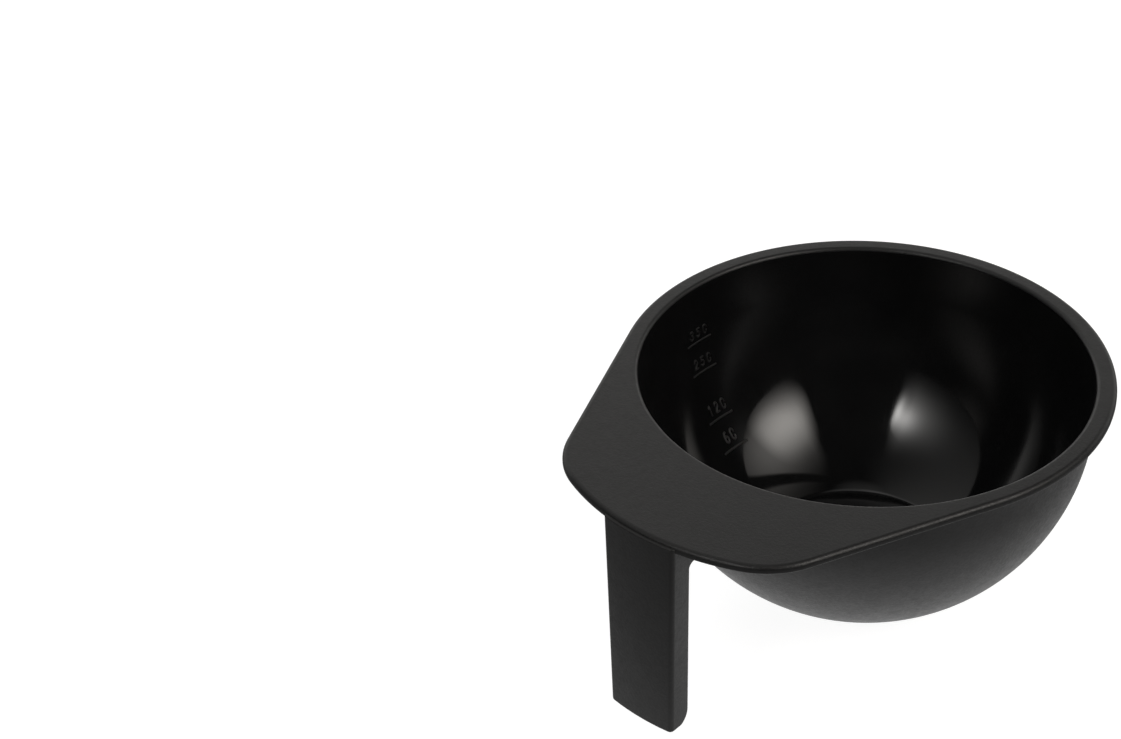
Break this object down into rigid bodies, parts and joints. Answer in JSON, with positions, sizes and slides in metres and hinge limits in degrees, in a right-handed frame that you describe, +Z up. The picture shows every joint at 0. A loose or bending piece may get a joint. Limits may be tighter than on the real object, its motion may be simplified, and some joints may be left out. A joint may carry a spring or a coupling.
{
  "type": "hair colour mixing bowl",
  "caption": "Hand-held round bowl for mixing hair colour, with a wide thumb lip, a hanging channel handle, a rubber foot ring and a raised measuring scale inside.",
  "frame": {"origin": "centre of the foot ring's underside, on the surface that the bowl stands on", "axes": "+Z up along the bowl's axis, handle and thumb lip towards -Y, measuring scale on the -X side"},
  "size_m": [0.1336, 0.1611, 0.0685],
  "materials": {
    "bowl_plastic": "black polypropylene, mirror polished inside, fine matte grain outside",
    "grained_plastic": "black polypropylene with a fine spark-eroded matte grain",
    "foot_rubber": "soft matte black thermoplastic rubber"
  },
  "bodies": {
    "root": {"bowl_wall": "bowl_plastic", "bowl_floor": "bowl_plastic", "rim_flange": "grained_plastic", "thumb_lip": "grained_plastic", "lip_left_rib": "grained_plastic", "lip_right_rib": "grained_plastic", "handle_web": "grained_plastic", "handle_left_flange": "grained_plastic", "handle_right_flange": "grained_plastic", "non_slip_ring": "foot_rubber", "measuring_lines": "bowl_plastic", "measuring_numerals": "bowl_plastic"}
  },
  "joints": []
}
